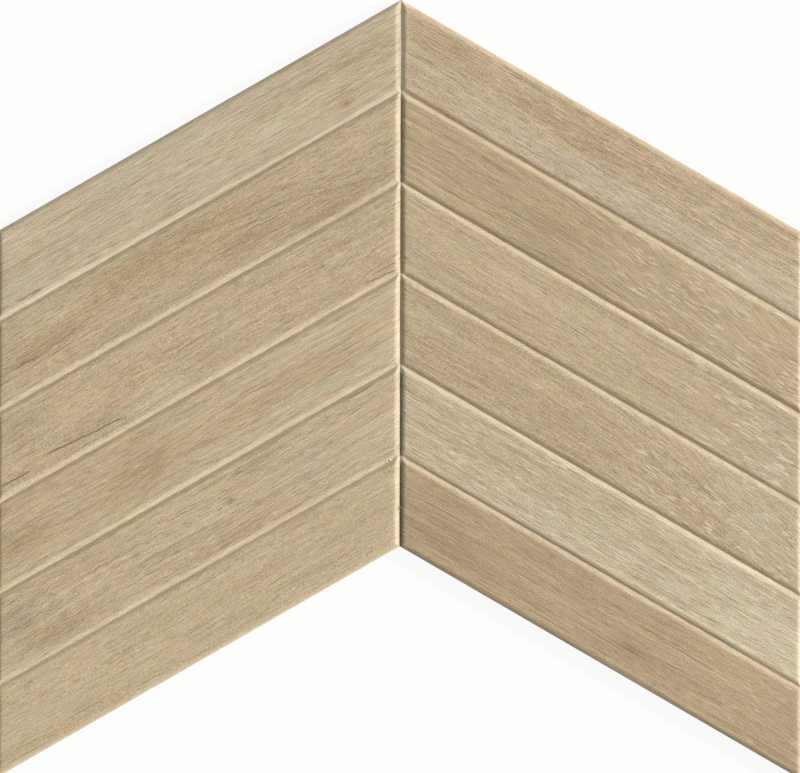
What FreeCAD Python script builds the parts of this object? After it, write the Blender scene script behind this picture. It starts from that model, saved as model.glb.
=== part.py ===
import FreeCAD, Part
import math
import os

# A chevron wall tile: one dry-pressed, glazed and fired ceramic piece with a wood-look face.
# Two legs meet at a spine. The mould presses each leg into a row of staves, parted by shallow
# grooves with rounded shoulders, and eases the rim in the same way, so that a joint between
# two tiles looks like a groove. The back has shallow keyed recesses for the adhesive.
# Frame in millimetres: +X across the tile, +Y towards the point, +Z out of the face.
# The origin is on the back, in the middle of the box around the tile.

# The outline
tile_width = 378.0            # between the two outer edges
stave_pitch = 37.0            # from groove to groove, square to the staves
stave_rows = 6                # staves in each leg
mitre_angle = 30.0            # slope of the staves, degrees from level
tile_thickness = 9.0          # from the back to the face
side_draft = 1.5              # lean of the pressed sides, degrees, widest just under the rim

# The grooves and the eased rim of the face
groove_depth = 1.35           # between two staves of a leg
spine_extra_depth = 0.2       # how much deeper the groove is where the two legs meet
rim_extra_depth = 0.15        # how much further the eased rim drops than a groove
groove_wall_slope = 36.0      # degrees from the face, also that of the rim
groove_floor_radius = 0.5
shoulder_share = 0.45         # part of a groove's wall that the rounded shoulder takes up
rim_arris_radius = 0.8        # where the eased rim turns down into the side

# The back
back_bevel = 0.8              # around the back
recess_depth = 0.8
recesses_per_leg = 12
back_rim_width = 9.0          # flat border around the recesses
back_rib_width = 4.0          # flat land between two recesses
recess_wall_slope = 50.0      # degrees from the back

# Worked out from the above
mitre = math.radians(mitre_angle)
rise = math.tan(mitre)
stave_drop = stave_pitch / math.cos(mitre)
half_width = tile_width / 2
tile_height = stave_rows * stave_drop + half_width * rise
point_y = tile_height / 2
notch_y = point_y - stave_rows * stave_drop
wall = math.radians(groove_wall_slope)
groove_tip = groove_depth + groove_floor_radius * (1 / math.cos(wall) - 1)
groove_wall = groove_tip / math.sin(wall) - groove_floor_radius * math.tan(wall / 2)
shoulder_radius = shoulder_share * groove_wall / math.tan(wall / 2)
rim_depth = groove_depth + rim_extra_depth
rim_level = tile_thickness - rim_depth
reach = tile_thickness        # how far a cutter runs past what it cuts
along_leg = FreeCAD.Vector(math.cos(mitre), -math.sin(mitre), 0)
up = FreeCAD.Vector(0, 0, 1)


def polygon(corners):
    return Part.Face(Part.makePolygon(corners + corners[:1]))


def flat_sided(rings):
    """A solid through rings of corners, one above the other."""
    faces = [polygon(rings[0]), polygon(rings[-1])]
    for lower, upper in zip(rings, rings[1:]):
        for i in range(len(lower)):
            faces.append(polygon([lower[i - 1], lower[i], upper[i], upper[i - 1]]))
    shell = Part.makeShell(faces)
    shell.sewShape()
    return Part.makeSolid(shell)


def leg_ring(inset, level):
    """Corners of the right leg's outline, drawn in from its three free sides but not at the spine."""
    top = point_y - inset / math.cos(mitre)
    foot = notch_y + inset / math.cos(mitre)
    outer = half_width - inset
    corners = [(0, top), (outer, top - outer * rise), (outer, foot - outer * rise), (0, foot)]
    return [FreeCAD.Vector(x, y, level) for x, y in corners]


def leg_blank():
    """The right leg with leaning sides and a bevel round its back, before its face is shaped."""
    lean = math.tan(math.radians(side_draft))
    back = leg_ring(lean * rim_level + back_bevel, 0)
    side = leg_ring(lean * (rim_level - back_bevel), back_bevel)
    face = leg_ring(-lean * rim_depth, tile_thickness)
    return flat_sided([back, side, face])


def vee(start, direction, length, depth, floor_radius=0):
    """A straight vee sunk into the face, with a rounded floor where a radius is given."""
    across = direction.cross(up)
    tip = depth + floor_radius * (1 / math.cos(wall) - 1)
    mouth = (tip + reach) / math.tan(wall)

    def at(sideways, height):
        return start + across * sideways + up * (tile_thickness + height)

    def line(a, b):
        return Part.LineSegment(a, b).toShape()

    left, right = at(-mouth, reach), at(mouth, reach)
    if floor_radius:
        turn = floor_radius * math.sin(wall)
        turn_height = floor_radius * (1 - math.cos(wall)) - depth
        foot_left, foot_right = at(-turn, turn_height), at(turn, turn_height)
        floor = Part.Arc(foot_left, at(0, -depth), foot_right).toShape()
        edges = [line(right, left), line(left, foot_left), floor, line(foot_right, right)]
    else:
        edges = [line(right, left), line(left, at(0, -tip)), line(at(0, -tip), right)]
    return Part.Face(Part.Wire(edges)).extrude(direction * length)


def vee_along_leg(line, depth, floor_radius=0):
    """A vee along the line that is so many staves down from the point."""
    start = FreeCAD.Vector(0, point_y - line * stave_drop, 0) - along_leg * reach
    return vee(start, along_leg, half_width / math.cos(mitre) + 2 * reach, depth, floor_radius)


def vee_down(x, depth, floor_radius=0):
    """A vee parallel to the spine."""
    start = FreeCAD.Vector(x, point_y + reach, 0)
    return vee(start, -FreeCAD.Vector(0, 1, 0), tile_height + 2 * reach, depth, floor_radius)


def rim_cutters():
    ends = [vee_along_leg(line, rim_depth) for line in (0, stave_rows)]
    return ends + [vee_down(half_width, rim_depth)]


def groove_cutters():
    between = [vee_along_leg(line, groove_depth, groove_floor_radius) for line in range(1, stave_rows)]
    return between + [vee_down(0, groove_depth + spine_extra_depth, groove_floor_radius)]


def recess_ring(row, inset, level):
    """Corners of one recess in the back of the right leg, drawn in by the inset."""
    pitch = (stave_rows * stave_pitch - 2 * back_rim_width + back_rib_width) / recesses_per_leg
    near = back_rim_width + row * pitch + inset
    far = back_rim_width + (row + 1) * pitch - back_rib_width - inset
    inner = back_rib_width / 2 + inset
    outer = half_width - back_rim_width - inset
    top, foot = (point_y - distance / math.cos(mitre) for distance in (near, far))
    corners = [(inner, top), (outer, top), (outer, foot), (inner, foot)]
    return [FreeCAD.Vector(x, y - x * rise, level) for x, y in corners]


def recess_cutters():
    """The keyed recesses of the right leg, each wider at the mouth than at its floor."""
    spread = recess_depth / math.tan(math.radians(recess_wall_slope))
    cutters = []
    for row in range(recesses_per_leg):
        outside = recess_ring(row, -spread, -recess_depth)
        floor = recess_ring(row, spread, recess_depth)
        cutters.append(flat_sided([outside, floor]))
    return cutters


def level_edges(shape, level):
    """The edges that lie flat at this height."""
    near = rim_arris_radius / 1000
    return [edge for edge in shape.Edges if all(abs(v.Z - level) < near for v in edge.Vertexes)]


def right_leg():
    leg = leg_blank().cut(rim_cutters())
    leg = leg.makeFillet(rim_arris_radius, level_edges(leg, rim_level))
    leg = leg.cut(groove_cutters())
    leg = leg.makeFillet(shoulder_radius, level_edges(leg, tile_thickness))
    return leg.cut(recess_cutters())


def chevron_tile():
    leg = right_leg()
    other = leg.mirror(FreeCAD.Vector(0, 0, 0), FreeCAD.Vector(1, 0, 0))
    return leg.fuse(other).removeSplitter()


tile = chevron_tile()
print("valid", tile.isValid(), "solids", len(tile.Solids), "volume", tile.Volume)
os.makedirs("parts", exist_ok=True)
tile.Solids[0].exportStep("parts/chevron_tile.step")
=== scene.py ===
import math
import bmesh
import bpy
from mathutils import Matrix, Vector, noise


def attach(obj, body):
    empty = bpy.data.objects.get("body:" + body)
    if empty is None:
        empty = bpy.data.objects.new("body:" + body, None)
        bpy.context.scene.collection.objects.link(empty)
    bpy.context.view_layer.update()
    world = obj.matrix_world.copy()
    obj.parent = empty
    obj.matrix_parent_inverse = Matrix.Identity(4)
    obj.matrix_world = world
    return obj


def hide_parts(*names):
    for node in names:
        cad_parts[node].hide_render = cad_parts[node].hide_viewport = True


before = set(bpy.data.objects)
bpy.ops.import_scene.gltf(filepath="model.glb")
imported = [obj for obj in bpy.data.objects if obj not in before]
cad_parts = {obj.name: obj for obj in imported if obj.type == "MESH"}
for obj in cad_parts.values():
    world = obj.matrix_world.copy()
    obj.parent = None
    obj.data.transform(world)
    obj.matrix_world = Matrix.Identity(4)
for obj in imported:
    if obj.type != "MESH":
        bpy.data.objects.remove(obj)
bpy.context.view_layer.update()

# the pressed tile, metres; the same sizes as the solid
tile = {
    "width": 0.378,
    "stavePitch": 0.037,         # groove to groove, square to the staves
    "rows": 6,
    "mitre": math.radians(30),
    "thick": 0.009,
    "draft": math.radians(1.5),
    "grooveDepth": 0.00135,
    "spineDepth": 0.00155,
    "rimDepth": 0.0015,
    "wallSlope": math.radians(36),
    "floorRadius": 0.0005,
    "shoulderShare": 0.45,       # share of a groove's wall that its rounded shoulder takes up
    "arrisRadius": 0.0008,
    "arrisSteps": 3,
    "within": 0.00001,           # the sides stay this far inside the solid's
    "backBevel": 0.0008,
    "recessDepth": 0.0008,
    "recesses": 12,              # in the back of each leg
    "backRim": 0.009,
    "backRib": 0.004,
    "recessSlope": math.radians(50),
    "alongSteps": 80,            # mesh steps on the flat of a stave
    "acrossSteps": 52,
    "endSteps": 7,               # mesh steps on a shoulder, at the ends and along the sides
    "sideSteps": 8,
    "shoulderBand": 0.0034,
    "waver": 0.0007,             # how unevenly the shoulders run, and over how many mm
    "longWaver": 13,
    "shortWaver": 4,
    "reliefDepth": 0.00012,      # deepest brushed relief of the grain, and how it fades on a shoulder
    "reliefFade": 1.5,
    "staveWeld": 0.0001,         # points this close are one, between staves and at the rim and back
    "rimWeld": 0.000002,
    "sharpAngle": math.radians(35),
}

halfWidth = tile["width"] / 2
cosMitre = math.cos(tile["mitre"])
rise = math.tan(tile["mitre"])
staveDrop = tile["stavePitch"] / cosMitre
pointY = (tile["rows"] * staveDrop + halfWidth * rise) / 2
notchY = pointY - tile["rows"] * staveDrop
rimLevel = tile["thick"] - tile["rimDepth"]
grooveTip = tile["grooveDepth"] + tile["floorRadius"] * (1 / math.cos(tile["wallSlope"]) - 1)
grooveWall = grooveTip / math.sin(tile["wallSlope"]) - tile["floorRadius"] * math.tan(tile["wallSlope"] / 2)
shoulderReach = tile["shoulderShare"] * grooveWall
shoulderRadius = shoulderReach / math.tan(tile["wallSlope"] / 2)
grooveVee = (tile["grooveDepth"], tile["floorRadius"])
spineVee = (tile["spineDepth"], tile["floorRadius"])
rimVee = (tile["rimDepth"], 0.0)


# how far the face drops at this distance from the middle of a groove
def grooveDrop(distance, depth, floorRadius):
    slope = tile["wallSlope"]
    tip = depth + floorRadius * (1 / math.cos(slope) - 1)
    mouth = tip / math.tan(slope)
    start = mouth + shoulderReach
    if distance >= start:
        return 0.0
    if distance > mouth - shoulderReach * math.cos(slope):
        return shoulderRadius - math.sqrt(shoulderRadius ** 2 - (start - distance) ** 2)
    if distance > floorRadius * math.sin(slope):
        return tip - distance * math.tan(slope)
    return depth - floorRadius + math.sqrt(floorRadius ** 2 - distance ** 2)


# even steps on the flat, closer ones on the shoulders
def stepPlace(index, flatSteps, edgeSteps, length):
    band = tile["shoulderBand"]
    count = flatSteps + 2 * edgeSteps
    if index > count / 2:
        return length - stepPlace(count - index, flatSteps, edgeSteps, length)
    if index <= edgeSteps:
        return band * index / edgeSteps
    return band + (length - 2 * band) * (index - edgeSteps) / flatSteps


# 0 up to the start, 1 past the run, smooth between
def ramp(value, start, run):
    t = min(1.0, max(0.0, (value - start) / run))
    return t * t * (3 - 2 * t)


# The staves of each leg, from the point down. Places and sizes are in mm: the first number is the
# way out from the spine along the grain, the second the way down from the stave's upper edge.
# tone: mean colour of the glaze; sway: how far the grain wanders
# streak, crisp, porous: strength of the long lines, of the fine lines and of the pores
# patches: place, half sizes, lighter or darker, warmer or greyer
# eyes: place, half sizes, how far the figure is pushed aside
# slant: start, run and slope of a leaning figure; arch: start, steady and growing fall
# flecks, curl: start, run and strength of the pale flecks and of the crinkled grain
# cream, pale: the stave's own strengths of the painted highlight and painted light on its edges; seam: painted
# shadow in the spine beside it
plainStave = {
    "porous": 1.0, "crisp": 1.0, "spineShadow": 0.0, "flecks": (0, 1, 0.0), "curl": (0, 1, 0.0),
    "paintedLight": {}, "pale": {}, "eyes": [],
}
leftStaves = [
    {"tone": (0.532, 0.430, 0.295), "sway": 1.6, "streak": 1.0, "paintedLight": {"spine": 0.0},
     "patches": [(110, 5, 120, 4, 0.02, -3), (40, 13, 45, 3, -0.07, 2), (29, 29, 5, 3, -0.11, 5),
                 # the last patch below is painted shade on the lit wall of the spine
                 (125, 30, 9, 4, -0.08, 2), (20, 20, 30, 16, -0.03, 3), (0.4, 20, 0.9, 18, -0.16, 0)],
     "eyes": [(29, 29, 8, 4, 1.6)]},
    {"tone": (0.489, 0.379, 0.239), "sway": 2.0, "streak": 0.9, "crisp": 1.2,
     "arch": (125, 0.07, 0.0011), "paintedLight": {"lower": 0.72, "spine": 0.4},
     "patches": [(190, 21, 22, 5, -0.11, 5), (150, 10, 25, 5, -0.07, 3), (115, 14, 30, 6, -0.09, 4),
                 (80, 24, 16, 6, -0.12, 1), (35, 31, 25, 5, -0.12, 0), (30, 9, 30, 8, 0.06, -1),
                 (195, 9, 25, 5, 0.05, -2)],
     "eyes": [(80, 25, 12, 5, 2.2)]},
    {"tone": (0.506, 0.393, 0.251), "sway": 1.8, "streak": 0.8, "porous": 0.7,
     "patches": [(167, 27, 20, 4, -0.07, 0), (27, 11, 28, 2, -0.07, 0), (130, 31, 18, 3, 0.09, -3),
                 (205, 12, 10, 6, -0.06, -3), (180, 12, 8, 10, 0.04, 2), (80, 17, 25, 5, 0.03, 0)]},
    {"tone": (0.513, 0.399, 0.253), "sway": 2.4, "streak": 0.9,
     "patches": [(203, 21, 16, 5, -0.16, 3), (150, 19, 10, 7, -0.09, 3), (133, 20, 9, 6, -0.15, 4),
                 (75, 19, 42, 4, -0.08, 3), (40, 30, 60, 4, 0.09, -5), (35, 6, 50, 4, 0.07, -5),
                 (8, 20, 14, 14, 0.07, 0)],
     "eyes": [(88, 20, 14, 6, 3.4), (137, 20, 12, 7, 2.6), (55, 19, 12, 5, 2.0)]},
    {"tone": (0.503, 0.394, 0.255), "sway": 2.4, "streak": 1.1, "crisp": 1.25,
     "curl": (60, 90, 0.2), "paintedLight": {"spine": 0.15},
     "patches": [(204, 16, 10, 6, -0.13, -3), (185, 27, 17, 4, -0.11, 3), (80, 8, 12, 4, -0.08, 0),
                 (90, 32, 25, 3, -0.08, 1), (20, 18, 22, 16, 0.08, -1), (48, 18, 9, 10, 0.0, -5)],
     "eyes": [(94, 16, 7, 4, 1.8), (143, 16, 7, 4, 1.8), (204, 17, 10, 5, 2.2), (55, 12, 16, 6, 2.4)]},
    {"tone": (0.533, 0.423, 0.271), "sway": 2.0, "streak": 0.6, "porous": 0.4, "crisp": 0.85,
     "paintedLight": {"lower": 0.45},
     "patches": [(150, 12, 8, 6, -0.04, -2), (128, 10, 8, 5, -0.04, 2), (100, 14, 60, 5, -0.02, 1)],
     "eyes": [(150, 17, 12, 8, 2.6)]},
]
rightStaves = [
    {"tone": (0.513, 0.396, 0.259), "sway": 1.4, "streak": 1.15, "crisp": 1.1,
     "flecks": (20, 60, 0.35), "paintedLight": {"upper": 0.5, "spine": 0.9},
     # the first patch is painted light on the shaded shoulder beside the spine
     "patches": [(2.3, 19, 1.5, 17, 0.16, 0), (27, 8, 12, 3, -0.10, 0), (110, 10, 42, 7, -0.045, 1.5),
                 (70, 15, 60, 5, -0.05, 2), (110, 28, 100, 7, 0.06, -5.5), (195, 30, 25, 6, 0.08, -2)]},
    {"tone": (0.485, 0.370, 0.232), "sway": 1.6, "streak": 1.0, "slant": (85, 40, 0.5),
     "flecks": (100, 40, 1.0), "spineShadow": 0.5,
     "patches": [(60, 19, 70, 14, -0.06, 1), (85, 15, 20, 8, -0.03, 3), (175, 14, 35, 14, 0.08, -2),
                 (168, 16, 22, 2.5, -0.07, 0)]},
    {"tone": (0.513, 0.400, 0.258), "sway": 1.4, "streak": 0.9, "porous": 0.6,
     "flecks": (140, 40, 0.9), "spineShadow": 0.45,
     "patches": [(30, 26, 40, 6, -0.03, 0), (100, 14, 60, 7, 0.03, 0), (200, 18, 14, 16, 0.05, -5)]},
    {"tone": (0.503, 0.390, 0.250), "sway": 1.6, "streak": 1.0, "slant": (95, 40, 0.5),
     "flecks": (105, 40, 1.0), "spineShadow": 0.1,
     "patches": [(60, 24, 60, 8, -0.06, 1), (78, 12, 10, 4, 0.06, 0), (163, 16, 18, 2.5, -0.09, 0),
                 (192, 16, 18, 14, 0.08, -4)]},
    {"tone": (0.545, 0.444, 0.300), "sway": 1.3, "streak": 1.2, "porous": 0.4, "crisp": 1.15,
     "flecks": (0, 30, 0.35), "spineShadow": 0.9, "paintedLight": {"spine": 0.2}, "pale": {"lower": 0.28},
     # the pale value above and the first patch are painted light on the shaded lower shoulder
     "patches": [(110, 33.8, 150, 1.8, 0.10, 3), (60, 8, 70, 5, -0.07, 3), (195, 22, 30, 13, 0.10, -3),
                 (100, 27, 70, 6, 0.03, -2)]},
    {"tone": (0.451, 0.332, 0.205), "sway": 2.0, "streak": 1.0, "porous": 0.5,
     "flecks": (160, 30, 0.4), "spineShadow": 0.85, "paintedLight": {"upper": 0.78, "lower": 0.45},
     # the first patch is painted light on the shaded shoulder along the foot of the tile
     "patches": [(110, 35.4, 140, 1.6, 0.07, 0), (20, 24, 34, 10, -0.12, 0), (100, 15, 12, 3, -0.10, 0),
                 (124, 24, 12, 3.5, -0.16, 0), (85, 22, 12, 6, 0.05, 0), (180, 14, 35, 12, 0.05, 1)]},
]

# noise on a stave: run along it and width across it in mm, strength, seed
ripples = {
    "sway": (60, 16, 1.0, 0),
    "ripple": (17, 6, 0.32, 9),
    "broadRelief": (70, 5.5, 0.35, 20),
    "fineRelief": (26, 1.6, 0.45, 40),
    "cloud": (38, 9, 0.035, 50),
    "cloudlet": (14, 4, 0.02, 60),
    "warmth": (45, 12, 1.5, 70),
    "patchEdge": (16, 5, 0.35, 80),
}

# how far the fine lines lean with a slanting figure, and where down the stave it leans less
slanting = {"lineShare": 0.3, "footLoss": 0.4, "footStart": 10, "footRun": 26}

# where down the stave the crinkles of the grain weaken
crinkling = {"footLoss": 0.6, "footStart": 16, "footRun": 14}


# staves are numbered down the left leg and then down the right one
def staveNumber(row, onRight):
    return row + 1 + (tile["rows"] if onRight else 0)


def rippleAt(kind, out, down, seed):
    run, width, strength, shift = ripples[kind]
    return strength * noise.noise(Vector((out / run, down / width, seed + shift)))


# a point's place down the stave as the fine lines bend it, and as the broad figure does
def bendGrain(stave, seed, out, down):
    fine = down + stave["sway"] * rippleAt("sway", out, down, seed) + rippleAt("ripple", out, down, seed)
    figure = fine
    for eyeOut, eyeDown, halfOut, halfDown, push in stave["eyes"]:
        u, v = (out - eyeOut) / halfOut, (down - eyeDown) / halfDown
        figure -= push * v * math.exp(0.5 - u * u - v * v)
    if "slant" in stave:
        start, run, slope = stave["slant"]
        past = max(0.0, out - start)
        lean = slope * past * past / (past + run)
        fine -= slanting["lineShare"] * lean
        figure -= lean * (1 - slanting["footLoss"] * ramp(down, slanting["footStart"], slanting["footRun"]))
    if "arch" in stave:
        start, steady, growing = stave["arch"]
        past = max(0.0, start - out)
        figure -= steady * past + growing * past * past
    return fine, figure


# soft patches of the print at a point, and a few of painted light and shade on the shoulders: shade and warmth
def cloudAt(stave, seed, out, down):
    shade = rippleAt("cloud", out, down, seed) + rippleAt("cloudlet", out, down, seed)
    warmth = rippleAt("warmth", out, down, seed)
    wander = rippleAt("patchEdge", out, down, seed)
    for patchOut, patchDown, halfOut, halfDown, lift, warm in stave["patches"]:
        u, v = (out - patchOut) / halfOut, (down - patchDown) / halfDown
        weight = math.exp(-(u * u + v * v) * (1 + wander))
        shade += lift * weight
        warmth += warm * weight
    return shade, warmth


# brushed relief of the fired grain, 0 at the top to 1 at the deepest
def grainRelief(out, bent, seed):
    relief = 0.5 + rippleAt("broadRelief", out, bent, seed) + rippleAt("fineRelief", out, bent, seed)
    return min(1.0, max(0.0, relief))


# a distance from an edge, wavering a little on the shoulder
def waver(distance, way, number, edge):
    t = min(1.0, distance / tile["shoulderBand"])
    seed, shift = number * 2.3, edge * 5.1
    longWave = noise.noise(Vector((way / tile["longWaver"], seed, shift)))
    shortWave = noise.noise(Vector((way / tile["shortWaver"], seed, shift + 90)))
    return distance + tile["waver"] * t * (1 - t) * (longWave + 0.5 * shortWave)


# Painted highlight: a cream line on the edges of the staves, mostly those that face the key light, and painted
# light on the outer half only of the shoulders that lie in shade. A band is its start and run from the edge in
# metres.
edgeTint = {
    "paintedLightLeft": {"upper": 0.14, "lower": 0.6, "spine": 0.29, "end": 0.0},
    "paintedLightRight": {"upper": 0.40, "lower": 0.0, "spine": 0.0, "end": 0.28},
    "paintedLightBand": (0.0009, 0.0021),
    "rimBand": (0.0002, 0.0014),      # along the tile's point and notch
    "paleLeft": {"upper": 0.1, "end": 0.1},
    "paleRight": {"lower": 0.15, "spine": 0.4},
    "paleRise": (0.0008, 0.0010),
    "paleFall": (0.0022, 0.0018),
    "crossing": 0.8,                  # the painted highlight runs on where the grooves meet the spine
    "crossingOut": (0.0010, 0.0016),
    "crossingDown": (0.0016, 0.0016),
}


# painted highlight and painted light at a point of a stave, from its distances to the edges
def paintedLightAt(stave, side, row, edges, fromSpine, across):
    leg = "Right" if side > 0 else "Left"
    rimEdge = {0: "upper", tile["rows"] - 1: "lower"}.get(row)
    paintedLight = 0.0
    for edge, share in {**edgeTint["paintedLight" + leg], **stave["paintedLight"]}.items():
        band = edgeTint["rimBand" if edge == rimEdge else "paintedLightBand"]
        paintedLight = max(paintedLight, share * (1 - ramp(edges[edge], *band)))
    for edge, share in {**edgeTint["pale" + leg], **stave["pale"]}.items():
        risen, fallen = ramp(edges[edge], *edgeTint["paleRise"]), ramp(edges[edge], *edgeTint["paleFall"])
        paintedLight = max(paintedLight, share * risen * (1 - fallen))
    if row > 0:
        away, below = ramp(fromSpine, *edgeTint["crossingOut"]), ramp(across, *edgeTint["crossingDown"])
        paintedLight = max(paintedLight, edgeTint["crossing"] * (1 - away) * (1 - below))
    return paintedLight


# one stave of the face as a grid, with its shoulders, relief and grain
def layStave(bm, layers, side, row):
    stave = {**plainStave, **(rightStaves if side > 0 else leftStaves)[row]}
    number = staveNumber(row, side > 0)
    seed = number * 3.7
    acrossCount = tile["acrossSteps"] + 2 * tile["sideSteps"]
    alongCount = tile["alongSteps"] + 2 * tile["endSteps"]
    vees = {
        "upper": rimVee if row == 0 else grooveVee,
        "lower": rimVee if row == tile["rows"] - 1 else grooveVee,
        "spine": spineVee,
        "end": rimVee,
    }
    fleckStart, fleckRun, fleckShare = stave["flecks"]
    curlStart, curlRun, curlSize = stave["curl"]
    verts = bmesh.ops.create_grid(bm, x_segments=alongCount, y_segments=acrossCount, size=1.0)["verts"]
    for v in verts:
        alongIndex = round((v.co.x + 1) / 2 * alongCount)
        acrossIndex = round((1 - v.co.y) / 2 * acrossCount)
        reach = stepPlace(alongIndex, tile["alongSteps"], tile["endSteps"], halfWidth / cosMitre)
        across = stepPlace(acrossIndex, tile["acrossSteps"], tile["sideSteps"], tile["stavePitch"])
        fromSpine = reach * cosMitre
        out, down = reach * 1000, across * 1000
        edges = {
            "upper": waver(across, out, number, 1),
            "lower": waver(tile["stavePitch"] - across, out, number, 2),
            "spine": waver(fromSpine, down, number, 3),
            "end": waver(halfWidth - fromSpine, down, number, 4),
        }
        drop = max(grooveDrop(edges[edge], *vee) for edge, vee in vees.items())
        flat = min(1.0, min(edges.values()) / tile["shoulderBand"])
        fine, figure = bendGrain(stave, seed, out, down)
        shade, warmth = cloudAt(stave, seed, out, down)
        relief = tile["reliefDepth"] * flat ** tile["reliefFade"] * grainRelief(out, fine, seed)
        calm = crinkling["footLoss"] * ramp(down, crinkling["footStart"], crinkling["footRun"])
        x = side * fromSpine
        y = pointY - row * staveDrop - across / cosMitre - fromSpine * rise
        v.co = Vector((x, y, tile["thick"] - drop - relief))
        v[layers["shoulder"]] = 1 - flat
        # painted highlight and painted light near the stave's edges
        v[layers["paintedLight"]] = paintedLightAt(stave, side, row, edges, fromSpine, across)
        v[layers["shade"]] = shade
        v[layers["warmth"]] = warmth
        v[layers["flecks"]] = fleckShare * ramp(out, fleckStart, fleckRun)
        v[layers["curl"]] = curlSize * ramp(out, curlStart, curlRun) * (1 - calm)
        v[layers["spot"]] = Vector((out, down, fine))
        v[layers["figure"]] = figure
    for face in {f for v in verts for f in v.link_faces}:
        face[layers["stave"]] = number
        for name in ("streak", "porous", "crisp", "spineShadow"):
            face[layers[name]] = stave[name]
        face[layers["tone"]] = (*stave["tone"], 1)
        for loop in face.loops:
            spot = loop.vert[layers["spot"]]
            loop[layers["place"]].uv = (spot.x, spot.y)
            loop[layers["grain"]].uv = (spot.z, loop.vert[layers["figure"]])


# a rim point moved from its place on the full outline to the outline drawn in by the inset
def drawIn(v, spot, inset, level):
    x = max(inset - halfWidth, min(halfWidth - inset, v[spot].x))
    top = pointY - abs(x) * rise - inset / cosMitre
    foot = notchY - abs(x) * rise + inset / cosMitre
    v.co = Vector((x, max(foot, min(top, v[spot].y)), level))


# insets and levels from the eased rim round its arris, down the leaning side and over the back's bevel
def sideRings():
    lean = math.tan(tile["draft"])
    radius = tile["arrisRadius"]
    start, end = tile["wallSlope"], math.pi / 2 - tile["draft"]
    slope = math.tan(start)
    middle = radius * (math.sin(end) + lean * (1 / math.cos(start) - math.cos(end))) / (1 + lean * slope)
    middleLevel = rimLevel + middle * slope - radius / math.cos(start)
    rings = []
    for step in range(tile["arrisSteps"] + 1):
        turn = start + (end - start) * step / tile["arrisSteps"]
        rings.append((middle - radius * math.sin(turn), middleLevel + radius * math.cos(turn)))
    rings.append((lean * (rimLevel - tile["backBevel"]), tile["backBevel"]))
    rings.append((lean * rimLevel + tile["backBevel"], 0.0))
    return [(inset + tile["within"], level) for inset, level in rings]


def dropSides(bm, spot):
    loop = [e for e in bm.edges if e.is_boundary]
    rings = sideRings()
    for v in {v for e in loop for v in e.verts}:
        v[spot] = v.co
        drawIn(v, spot, *rings[0])
    for ring in rings[1:]:
        made = bmesh.ops.extrude_edge_only(bm, edges=loop)["geom"]
        for v in made:
            if isinstance(v, bmesh.types.BMVert):
                drawIn(v, spot, *ring)
        loop = [e for e in made if isinstance(e, bmesh.types.BMEdge) and e.is_boundary]
    lastRing = list(dict.fromkeys(v for e in loop for v in e.verts))
    bmesh.ops.remove_doubles(bm, verts=lastRing, dist=tile["rimWeld"])


# the keyed back: recesses with sloping walls in a flat ground
def keyBack(bm):
    pitch = (tile["rows"] * tile["stavePitch"] - 2 * tile["backRim"] + tile["backRib"]) / tile["recesses"]
    spread = tile["recessDepth"] / math.tan(tile["recessSlope"])
    for side in (-1, 1):
        for row in range(tile["recesses"]):
            corners = bmesh.ops.create_grid(bm, x_segments=1, y_segments=1, size=1.0)["verts"]
            for v in corners:
                x = tile["backRib"] / 2 if v.co.x < 0 else halfWidth - tile["backRim"]
                reach = tile["backRim"] + row * pitch + (0 if v.co.y > 0 else pitch - tile["backRib"])
                v.co = Vector((side * x, pointY - reach / cosMitre - x * rise, 0))
            floor = corners[0].link_faces[0]
            bmesh.ops.inset_individual(bm, faces=[floor], thickness=spread, use_even_offset=True)
            bmesh.ops.translate(bm, verts=floor.verts, vec=(0, 0, tile["recessDepth"]))
    openLoops = [e for e in bm.edges if e.is_boundary]
    bmesh.ops.triangle_fill(bm, use_beauty=True, edges=openLoops, normal=(0, 0, -1))


# flat map for the bake: the face fills it, the back sits in the notch and the sides in the upper corners
bakeMap = {
    "faceSpan": 0.99, "faceFoot": 0.005, "faceTilt": 0.2,       # a face tilts up at least this far
    "backSpan": 0.27, "backFoot": 0.01, "backTilt": -0.3,
    "stripStart": 0.008, "stripStep": 0.016, "stripFoot": 0.735,
}


def layBakeMap(bm, layer):
    scale = bakeMap["faceSpan"] / tile["width"]
    backScale = bakeMap["backSpan"] / tile["width"]
    for face in bm.faces:
        n = face.normal
        middle = face.calc_center_median()
        for loop in face.loops:
            x, y, z = loop.vert.co
            if n.z > bakeMap["faceTilt"]:
                loop[layer].uv = (0.5 + x * scale, bakeMap["faceFoot"] + (y + pointY) * scale)
            elif n.z < bakeMap["backTilt"]:
                loop[layer].uv = (0.5 - x * backScale, bakeMap["backFoot"] + (y + pointY) * backScale)
            else:
                strip = 0 if abs(n.x) > 0.9 else (1 if n.y > 0 else 2)     # end, point or notch
                start = bakeMap["stripStart"] + bakeMap["stripStep"] * strip
                run = (pointY - halfWidth * rise - y) if strip == 0 else abs(x) / cosMitre
                loop[layer].uv = (start + z if middle.x < 0 else 1 - start - z, bakeMap["stripFoot"] + run)


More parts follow.
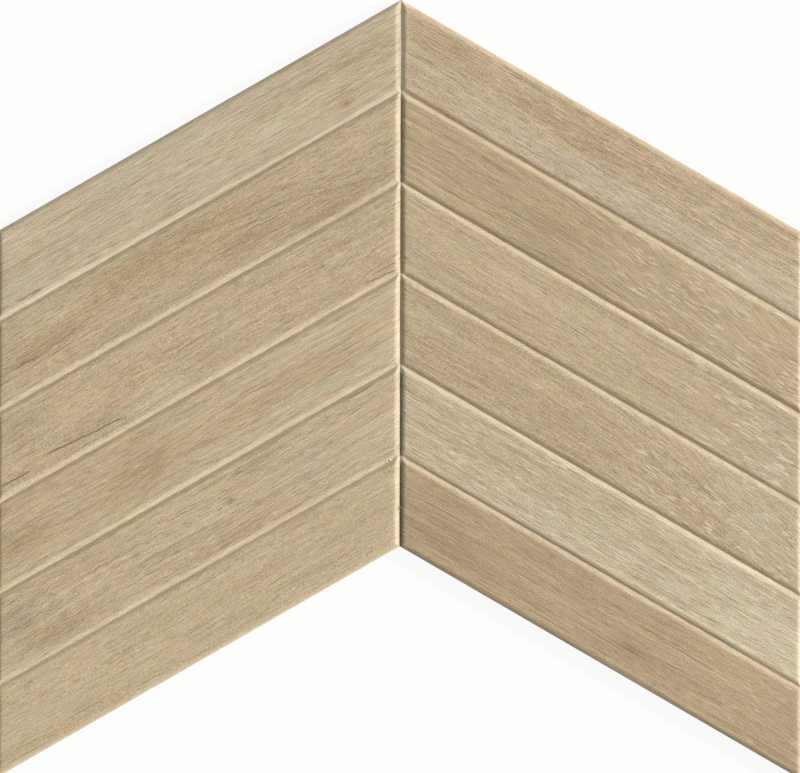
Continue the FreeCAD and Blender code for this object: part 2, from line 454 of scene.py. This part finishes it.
def buildTile():
    bm = bmesh.new()
    layers = {"spot": bm.verts.layers.float_vector.new("spot")}
    for name in ("shoulder", "paintedLight", "shade", "warmth", "flecks", "curl", "figure"):
        layers[name] = bm.verts.layers.float.new(name)
    for name in ("stave", "streak", "porous", "crisp", "spineShadow"):
        layers[name] = bm.faces.layers.float.new(name)
    layers["tone"] = bm.faces.layers.float_color.new("tone")
    layers["grain"] = bm.loops.layers.uv.new("grain")
    layers["place"] = bm.loops.layers.uv.new("place")
    layers["bake"] = bm.loops.layers.uv.new("OFBake")
    for side in (-1, 1):
        for row in range(tile["rows"]):
            layStave(bm, layers, side, row)
    print("staves laid,", len(bm.verts), "points")
    bmesh.ops.remove_doubles(bm, verts=bm.verts, dist=tile["staveWeld"])
    dropSides(bm, layers["spot"])
    keyBack(bm)
    bmesh.ops.remove_doubles(bm, verts=bm.verts, dist=tile["rimWeld"])
    bmesh.ops.recalc_face_normals(bm, faces=bm.faces)
    bm.normal_update()
    layBakeMap(bm, layers["bake"])
    bm.verts.layers.float_vector.remove(layers["spot"])
    bm.verts.layers.float.remove(bm.verts.layers.float["figure"])
    openEdges = sum(1 for e in bm.edges if not e.is_manifold)
    for face in bm.faces:
        face.smooth = True
    mesh = bpy.data.meshes.new("chevron_tile_glazed")
    bm.to_mesh(mesh)
    bm.free()
    mesh.set_sharp_from_angle(angle=tile["sharpAngle"])
    piece = bpy.data.objects.new("chevron_tile_glazed", mesh)
    bpy.context.scene.collection.objects.link(piece)
    triangles = sum(len(p.vertices) - 2 for p in mesh.polygons)
    print("tile built,", triangles, "triangles,", openEdges, "open edges")
    return piece


# a socket that takes part in sums, each of which adds a Math node
class Wire:
    def __init__(self, tree, socket=None):
        self.tree = tree
        self.socket = socket

    def node(self, kind, settings=None, sockets=None, output=0):
        made = self.tree.nodes.new(kind)
        for name, value in (settings or {}).items():
            setattr(made, name, value)
        for key, value in (sockets or {}).items():
            if isinstance(value, Wire):
                self.tree.links.new(value.socket, made.inputs[key])
            else:
                made.inputs[key].default_value = value
        return Wire(self.tree, made.outputs[output] if made.outputs else None)

    def sum(self, operation, first, second):
        return self.node("ShaderNodeMath", {"operation": operation}, {0: first, 1: second})

    def __add__(self, other):
        return self.sum("ADD", self, other)

    def __radd__(self, other):
        return self.sum("ADD", other, self)

    def __sub__(self, other):
        return self.sum("SUBTRACT", self, other)

    def __rsub__(self, other):
        return self.sum("SUBTRACT", other, self)

    def __mul__(self, other):
        return self.sum("MULTIPLY", self, other)

    def __rmul__(self, other):
        return self.sum("MULTIPLY", other, self)

    def __truediv__(self, other):
        return self.sum("DIVIDE", self, other)

    # 0 below low, 1 above high, smooth between
    def ease(self, low, high):
        bounds = {"Value": self, "From Min": low, "From Max": high}
        return self.node("ShaderNodeMapRange", {"interpolation_type": "SMOOTHSTEP"}, bounds)

    # 1 where this is within half a step of the number
    def isNumber(self, number):
        return self.node("ShaderNodeMath", {"operation": "COMPARE"}, {0: self, 1: number, 2: 0.5})

    def size(self):
        return self.node("ShaderNodeMath", {"operation": "ABSOLUTE"}, {0: self})

    # one axis of a vector: 0, 1 or 2
    def axis(self, number):
        return self.node("ShaderNodeSeparateXYZ", None, {0: self}, number)

    # from the first colour to the second as this goes from 0 to 1
    def blend(self, first, second):
        return self.node("ShaderNodeMix", {"data_type": "RGBA"}, {0: self, 6: first, 7: second}, 2)

    def tinted(self, first, second):
        mixing = {"data_type": "RGBA", "blend_type": "MULTIPLY"}
        return self.node("ShaderNodeMix", mixing, {0: 1.0, 6: first, 7: second}, 2)


def newMaterial(name):
    material = bpy.data.materials.new(name)
    material.use_nodes = True
    material.node_tree.nodes.clear()
    return material, Wire(material.node_tree)


# matt glaze printed as pale oak, on a cream body that shows at the sides and back
glaze = {
    "shadeDark": (0.56, 0.50, 0.43, 1),       # the print's deepest and palest tints
    "shadeLight": (1.44, 1.50, 1.57, 1),
    "grey": (0.945, 1.00, 1.085, 1),          # at its greyest and its warmest
    "warm": (1.055, 1.00, 0.915, 1),
    "greenish": (0.97, 1.025, 0.985, 1),
    "pinkish": (1.03, 0.975, 1.015, 1),
    "paintedLight": (1.32, 1.44, 1.65, 1),           # painted highlight on lit edges, painted light on shaded shoulders
    "splitAndGrooveShade": (0.24, 0.19, 0.14, 1),
    "spineShadow": (0.16, 0.14, 0.12, 1),            # shadow in the spine
    "plain": (1, 1, 1, 1),
    "body": (0.50, 0.435, 0.345, 1),
    "bodyDust": (0.62, 0.57, 0.49, 1),
    "bodySpeck": [(0.86, 0.85, 0.83, 1), (1.08, 1.08, 1.08, 1)],
    "roughness": 0.58,
    "bodyRoughness": 0.82,
    "glazeFoot": 0.0066,                      # level at which the glaze stops on the sides, and how unevenly
    "footWander": 0.0012,
    "footBlur": 0.0002,
    "bumpDepth": 0.0001,
    "crumbHeight": 7.0,                       # the tallest crumb, in bump depths
    # how much painted highlight lies on the crumbs
    "crumbPaintedLight": 0.7,
}

# marks of the print, noise drawn out along the grain: run and width in mm, seed, detail and
# roughness of the noise, and how far it keeps to its peaks, 0 to 2
fibres = {
    "quiver": (6, 2.6, 41.7, 0.0, 0.5, 0),
    "crinkle": (3.0, 2.2, 43.1, 0.0, 0.5, 0),
    "bands": (190, 3.6, 3.3, 1.0, 0.5, 0),
    "lines": (46, 0.9, 5.7, 2.0, 0.65, 0),
    "hairs": (34, 0.4, 7.9, 1.0, 0.6, 2),
    "dashes": (5.5, 0.45, 18.6, 0.0, 0.5, 1),
    "grit": (0.6, 0.5, 2.3, 0.0, 0.5, 1),
    "threads": (85, 2.3, 24.2, 0.0, 0.5, 0),
    "threadRuns": (30, 3.0, 26.8, 0.0, 0.5, 0),
    "pores": (8, 0.62, 12.4, 0.0, 0.5, 0),
    "rays": (6, 1.1, 44.5, 0.0, 0.5, 1),
    "flecks": (5.5, 0.5, 15.1, 0.0, 0.5, 0),
    "fleckGroups": (13, 4.0, 47.2, 0.0, 0.5, 0),
    "blush": (14, 4.2, 31.4, 2.0, 0.5, 0),
    "broadBlush": (50, 13, 33.1, 0.0, 0.5, 0),
    "mellow": (16, 4.0, 35.8, 1.0, 0.5, 0),
    "longWobble": (11, 40, 21.0, 0.0, 0.5, 0),
    "shortWobble": (1.8, 40, 23.0, 0.0, 0.5, 0),
}

# how strongly each mark shades the print, and how far it stands up; lost is what flecks take from it
tint = {
    "bands": 0.05, "lines": 0.08, "linesLost": 0.02, "hairs": 0.18, "hairsLost": 0.08, "dashes": 0.09,
    "grit": 0.12, "rays": 0.045, "threads": 0.12, "pores": 0.17, "paleFlecks": 0.95, "darkFlecks": 0.16,
    "cloud": 1.65, "warmth": 0.062, "mellow": 0.11, "fleckGrey": 0.25, "blush": 0.06, "flatBlush": 0.11,
}
stand = {
    "lines": 0.16, "hairs": 0.3, "hairsLost": 0.13, "dashes": 0.12, "rays": 0.09, "pores": 0.4,
    "paleFlecks": 0.5,
}

# dark splits and long lines of the print, and one line of painted shade in a groove: stave, from and to, half
# width in mm, strength
splitsAndGrooveShade = [
    {"leg": "left", "row": 2, "from": (192, 28.2), "to": (145, 31.4), "half": 0.42, "dark": 0.95},
    {"leg": "left", "row": 2, "from": (216, 30.8), "to": (199, 31.3), "half": 0.40, "dark": 0.90},
    {"leg": "left", "row": 2, "from": (20, 33.0), "to": (1, 34.8), "half": 0.42, "dark": 0.75},
    {"leg": "left", "row": 2, "from": (16, 31.0), "to": (2, 31.6), "half": 0.36, "dark": 0.55},
    {"leg": "left", "row": 0, "from": (217, 33.0), "to": (211, 33.1), "half": 0.34, "dark": 0.45},
    {"leg": "left", "row": 0, "from": (208, 33.2), "to": (193, 33.6), "half": 0.38, "dark": 0.65},
    {"leg": "left", "row": 0, "from": (172, 34.2), "to": (163, 34.4), "half": 0.32, "dark": 0.45},
    # painted shade: a thin dark line along the groove at the foot of this stave
    {"leg": "right", "row": 4, "from": (1, 36.5), "to": (217, 36.5), "half": 0.6, "dark": 0.3},
    {"leg": "right", "row": 2, "from": (45, 27.0), "to": (212, 23.6), "half": 0.75, "dark": 0.10},
    {"leg": "left", "row": 1, "from": (118, 9.0), "to": (5, 31.5), "half": 0.6, "dark": 0.24, "bow": -1.5},
    {"leg": "left", "row": 1, "from": (98, 16.0), "to": (16, 33.0), "half": 0.6, "dark": 0.18, "bow": -1.2},
    {"leg": "left", "row": 1, "from": (212, 23.0), "to": (164, 18.5), "half": 0.7, "dark": 0.28, "bow": 2.0},
    {"leg": "left", "row": 1, "from": (210, 19.5), "to": (172, 17.0), "half": 0.6, "dark": 0.22, "bow": 1.2},
]

# small dark marks of the print: place and half sizes in mm, strength
knots = [
    {"leg": "left", "row": 4, "at": (91.6, 16.1), "half": (3.6, 1.9), "dark": 0.34},
    {"leg": "left", "row": 4, "at": (142.4, 16.6), "half": (3.2, 0.9), "dark": 0.30},
    {"leg": "left", "row": 4, "at": (204.5, 16.4), "half": (4.0, 1.0), "dark": 0.22},
    {"leg": "left", "row": 4, "at": (201.0, 18.6), "half": (2.4, 0.9), "dark": 0.20},
    {"leg": "left", "row": 0, "at": (29.3, 30.0), "half": (3.0, 1.6), "dark": 0.16},
    {"leg": "right", "row": 0, "at": (92.0, 2.4), "half": (3.2, 0.9), "dark": 0.24},
    {"leg": "right", "row": 0, "at": (126.0, 2.6), "half": (4.0, 1.0), "dark": 0.22},
]

# crumbs of glaze fired onto the spine and beside it: place and half size in metres, share of the tallest
crumbs = [(0.0001, -0.0554, 0.0010, 1.0), (-0.0047, -0.0331, 0.0008, 0.5), (-0.0061, -0.0340, 0.0005, 0.5)]
crumbLevel = tile["thick"] - 0.001


# dark strength of the splits and knots together, with the one painted shade line, on their own staves
def markPrintAndGrooveShade(stave, out, down, wobble, lines):
    dark = 0
    for mark in splitsAndGrooveShade:
        (out0, down0), (out1, down1) = mark["from"], mark["to"]
        way = (out - out0) / (out1 - out0)
        bow = way * (1 - way) * (4 * mark.get("bow", 0))
        middle = way * (down1 - down0) + bow + wobble + down0
        inside = way.ease(0.0, 0.12) * (1 - way.ease(0.8, 1.0))            # tapers to its ends
        line = 1 - ((down - middle).size() / inside.ease(-0.4, 1.2) / mark["half"]).ease(0.35, 1.1)
        onStave = stave.isNumber(staveNumber(mark["row"], mark["leg"] == "right"))
        dark = dark + line * inside.ease(0.0, 0.2) * onStave * mark["dark"]
    dark = dark * (0.75 + lines.ease(-1.2, 0.6) * 0.25)
    for mark in knots:
        (atOut, atDown), (halfOut, halfDown) = mark["at"], mark["half"]
        far = (out - atOut).size() / halfOut + ((down - atDown) + wobble * 3).size() / halfDown
        onStave = stave.isNumber(staveNumber(mark["row"], mark["leg"] == "right"))
        dark = dark + (1 - (far + lines * 0.12).ease(0.2, 1.5)) * onStave * mark["dark"]
    return dark


# the bare body of the sides and back, dusty where it has rubbed
def mixBody(g, spot, height):
    speck = g.node("ShaderNodeTexNoise", None, {"Vector": spot, "Scale": 900.0, "Detail": 4.0})
    dust = g.node("ShaderNodeTexNoise", None, {"Vector": spot, "Scale": 45.0, "Detail": 5.0})
    worn = (1 - height.ease(0.0001, 0.0005)) * dust.ease(0.4, 0.65)
    clay = worn.blend(glaze["body"], glaze["bodyDust"])
    clay = g.tinted(clay, speck.ease(0.3, 0.7).blend(*glaze["bodySpeck"]))
    pitted = g.node("ShaderNodeBump", None, {"Height": speck, "Distance": glaze["bumpDepth"], "Strength": 0.8})
    finish = {"Base Color": clay, "Roughness": glaze["bodyRoughness"], "Normal": pitted}
    return g.node("ShaderNodeBsdfPrincipled", None, finish)


def makeGlaze():
    material, g = newMaterial("oakLookGlaze")
    grain = g.node("ShaderNodeUVMap", {"uv_map": "grain"})
    fine, figure = grain.axis(0), grain.axis(1)
    where = g.node("ShaderNodeUVMap", {"uv_map": "place"})
    out, down = where.axis(0), where.axis(1)
    stave, streak, porous, crisp, spineShadow, shoulder, paintedLight, cloud, warmth, pale, curl = (
        g.node("ShaderNodeAttribute", {"attribute_name": name}, None, 2)
        for name in ("stave", "streak", "porous", "crisp", "spineShadow", "shoulder", "paintedLight", "shade", "warmth",
                     "flecks", "curl"))
    tone = g.node("ShaderNodeAttribute", {"attribute_name": "tone"}, None, 0)
    spot = g.node("ShaderNodeTexCoord", None, None, 3)
    sideways, height = spot.axis(0), spot.axis(2)
    along = out + down * rise
    flat = 1 - shoulder.ease(0.2, 0.85)

    # one kind of mark, spread about 1 either way
    def fibre(kind, across):
        run, width, shift, detail, rough, sparse = fibres[kind]
        at = g.node("ShaderNodeCombineXYZ", None, {0: along / run, 1: across / width, 2: stave * 3.71 + shift})
        drawn = {"Vector": at, "Scale": 1.0, "Detail": detail, "Roughness": rough}
        made = (g.node("ShaderNodeTexNoise", None, drawn) - 0.5) * 7.0
        if sparse == 1:
            return made * made.size() * 0.65
        return made * made * made * 0.42 if sparse == 2 else made

    curled = fine + fibre("quiver", fine) * 0.08 + fibre("crinkle", fine) * curl
    bands = fibre("bands", figure)
    lines = fibre("lines", curled)
    hairs = fibre("hairs", curled)
    dashes = fibre("dashes", curled)
    grit = fibre("grit", curled)
    threads = 1 - fibre("threads", figure).size().ease(0.0, 0.3)
    threads = threads * fibre("threadRuns", curled).ease(-0.2, 1.0)
    pores = fibre("pores", curled).ease(0.9, 1.7) * bands.ease(-0.9, 0.7)
    rays = fibre("rays", figure) * pale
    fleck = fibre("flecks", down)
    group = fibre("fleckGroups", down).ease(0.05, 0.65) * pale * (0.25 + flat * 0.75)
    paleFlecks = fleck.ease(0.4, 1.0) * group
    darkFlecks = (fleck * -1).ease(0.5, 1.1) * group
    blush = fibre("blush", curled) + fibre("broadBlush", curled) * 0.4
    mellow = fibre("mellow", curled)
    wobble = fibre("longWobble", curled) * 0.14 + fibre("shortWobble", curled) * 0.07
    splitAndGrooveShade = markPrintAndGrooveShade(stave, out, down, wobble, lines)

    # painted shadow: a dark line in the spine, broken by the crumbs
    crumb = 0
    for x, y, half, share in crumbs:
        far = g.node("ShaderNodeVectorMath", {"operation": "DISTANCE"}, {0: spot, 1: (x, y, crumbLevel)}, 1)
        crumb = crumb + (1 - (far / half).ease(0.3, 1.3)) * share
    spineShadow = spineShadow * sideways.ease(-0.0001, 0.0002) * (1 - sideways.ease(0.0005, 0.0016))
    spineShadow = spineShadow * down.ease(2.0, 4.5) * (1 - crumb)

    longMarks = (bands * tint["bands"] + lines * (tint["lines"] - pale * tint["linesLost"])) * streak
    fineMarks = hairs * (tint["hairs"] - pale * tint["hairsLost"]) + dashes * tint["dashes"] + grit * tint["grit"]
    marks = longMarks + fineMarks * crisp + rays * tint["rays"] - threads * tint["threads"]
    marks = marks - pores * porous * tint["pores"]
    marks = marks + paleFlecks * tint["paleFlecks"] - darkFlecks * tint["darkFlecks"]
    shade = 0.5 + marks * (0.55 + flat * 0.45) + cloud * tint["cloud"]
    warmer = warmth * tint["warmth"] + mellow * tint["mellow"] - paleFlecks * tint["fleckGrey"] + 0.5
    pinker = blush * (tint["blush"] + flat * tint["flatBlush"]) + 0.5
    oak = g.tinted(tone, shade.ease(-0.25, 1.25).blend(glaze["shadeDark"], glaze["shadeLight"]))
    oak = g.tinted(oak, warmer.blend(glaze["grey"], glaze["warm"]))
    oak = g.tinted(oak, pinker.blend(glaze["greenish"], glaze["pinkish"]))
    # painted highlight on the lit edges, painted light on the shaded shoulders and on the crumbs
    oak = g.tinted(oak, (paintedLight + crumb * glaze["crumbPaintedLight"]).blend(glaze["plain"], glaze["paintedLight"]))
    # the print's splits and knots, and the painted shade line in one groove
    oak = g.tinted(oak, splitAndGrooveShade.blend(glaze["plain"], glaze["splitAndGrooveShade"]))
    # painted shadow in the spine
    oak = g.tinted(oak, spineShadow.blend(glaze["plain"], glaze["spineShadow"]))

    relief = lines * stand["lines"] + hairs * (stand["hairs"] - pale * stand["hairsLost"])
    relief = relief + dashes * stand["dashes"] + rays * stand["rays"] - pores * porous * stand["pores"]
    relief = (relief + paleFlecks * stand["paleFlecks"]) * (0.5 + flat * 0.5) + crumb * glaze["crumbHeight"]
    brushed = g.node("ShaderNodeBump", None, {"Height": relief, "Distance": glaze["bumpDepth"], "Strength": 1.0})
    rough = glaze["roughness"] + pores * 0.12 - hairs * 0.02
    face = g.node("ShaderNodeBsdfPrincipled", None, {"Base Color": oak, "Roughness": rough, "Normal": brushed})

    # the glaze stops a little way down the sides, with an uneven edge
    wander = g.node("ShaderNodeTexNoise", None, {"Vector": spot, "Scale": 180.0, "Detail": 2.0}) - 0.5
    foot, blur = glaze["glazeFoot"], glaze["footBlur"]
    glazed = (height + wander * glaze["footWander"]).ease(foot - blur, foot + blur)
    tileSkin = g.node("ShaderNodeMixShader", None, {0: glazed, 1: mixBody(g, spot, height), 2: face})
    g.node("ShaderNodeOutputMaterial", None, {"Surface": tileSkin})
    print("glaze mixed,", len(material.node_tree.nodes), "nodes")
    return material


# white ground that keeps a faint shadow, soft light all round and a key low on the right
studio = {
    "floorSize": 8.0,
    "floorGap": 0.0001,
    "floorColour": (0.82, 0.82, 0.82, 1),
    "white": (1, 1, 1, 1),
    "shadowShare": 0.07,
    "ambient": 0.30,
    "ambientTint": (1.0, 0.985, 0.87, 1),
    "keyStrength": 4.05,
    "keyAngle": math.radians(9),
    "keyAzimuth": math.radians(9),
    "keyHeight": math.radians(30),
    "lens": 240.0,
    "sensor": 36.0,
    "farthest": 50.0,
    "frameWidth": 0.375,
    "lookAt": (0.0, 0.00133),
    "roll": math.radians(0.15),
}


# 1 for what the camera sees, straight or in a reflection
def seenDirect(g):
    camera, glossy, through = (
        g.node("ShaderNodeLightPath", None, None, name)
        for name in ("Is Camera Ray", "Is Glossy Ray", "Is Transmission Ray"))
    return g.sum("MAXIMUM", camera, g.sum("MAXIMUM", glossy, through))


def layFloor(scene):
    bm = bmesh.new()
    bmesh.ops.create_grid(bm, x_segments=1, y_segments=1, size=studio["floorSize"] / 2)
    bmesh.ops.translate(bm, verts=bm.verts, vec=(0, 0, -studio["floorGap"]))
    mesh = bpy.data.meshes.new("pale_floor")
    bm.to_mesh(mesh)
    bm.free()
    floor = bpy.data.objects.new("pale_floor", mesh)
    scene.collection.objects.link(floor)
    material, g = newMaterial("paleGround")
    matt = g.node("ShaderNodeBsdfDiffuse", None, {"Color": studio["floorColour"]})
    glow = g.node("ShaderNodeEmission", None, {"Color": studio["white"], "Strength": 1.0})
    glowing = seenDirect(g) * (1 - studio["shadowShare"])
    ground = g.node("ShaderNodeMixShader", None, {0: glowing, 1: matt, 2: glow})
    g.node("ShaderNodeOutputMaterial", None, {"Surface": ground})
    mesh.materials.append(material)


def setLight(scene):
    world = bpy.data.worlds.new("softStudio")
    world.use_nodes = True
    world.node_tree.nodes.clear()
    w = Wire(world.node_tree)
    seen = seenDirect(w)
    colour = seen.blend(studio["ambientTint"], studio["white"])
    strength = studio["ambient"] + seen * (1 - studio["ambient"])
    sky = w.node("ShaderNodeBackground", None, {"Color": colour, "Strength": strength})
    w.node("ShaderNodeOutputWorld", None, {"Surface": sky})
    scene.world = world

    lamp = bpy.data.lights.new("sideKey", "SUN")
    lamp.energy = studio["keyStrength"]
    lamp.angle = studio["keyAngle"]
    key = bpy.data.objects.new("sideKey", lamp)
    up, turn = studio["keyHeight"], studio["keyAzimuth"]
    towards = Vector((math.cos(up) * math.cos(turn), math.cos(up) * math.sin(turn), math.sin(up)))
    key.rotation_euler = towards.to_track_quat("Z", "Y").to_euler()
    scene.collection.objects.link(key)


def setCamera(scene):
    lens = bpy.data.cameras.new("overhead")
    lens.lens = studio["lens"]
    lens.sensor_width = studio["sensor"]
    lens.clip_end = studio["farthest"]
    camera = bpy.data.objects.new("overhead", lens)
    above = studio["frameWidth"] * studio["lens"] / studio["sensor"]
    camera.location = (*studio["lookAt"], tile["thick"] + above)
    camera.rotation_euler = (0, 0, studio["roll"])
    scene.collection.objects.link(camera)
    scene.camera = camera
    scene.view_settings.view_transform = "Standard"
    print("studio set, camera", round(above, 3), "m above the face")


piece = buildTile()
piece.data.materials.append(makeGlaze())
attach(piece, "root")
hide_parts("chevron_tile")
layFloor(bpy.context.scene)
setLight(bpy.context.scene)
setCamera(bpy.context.scene)
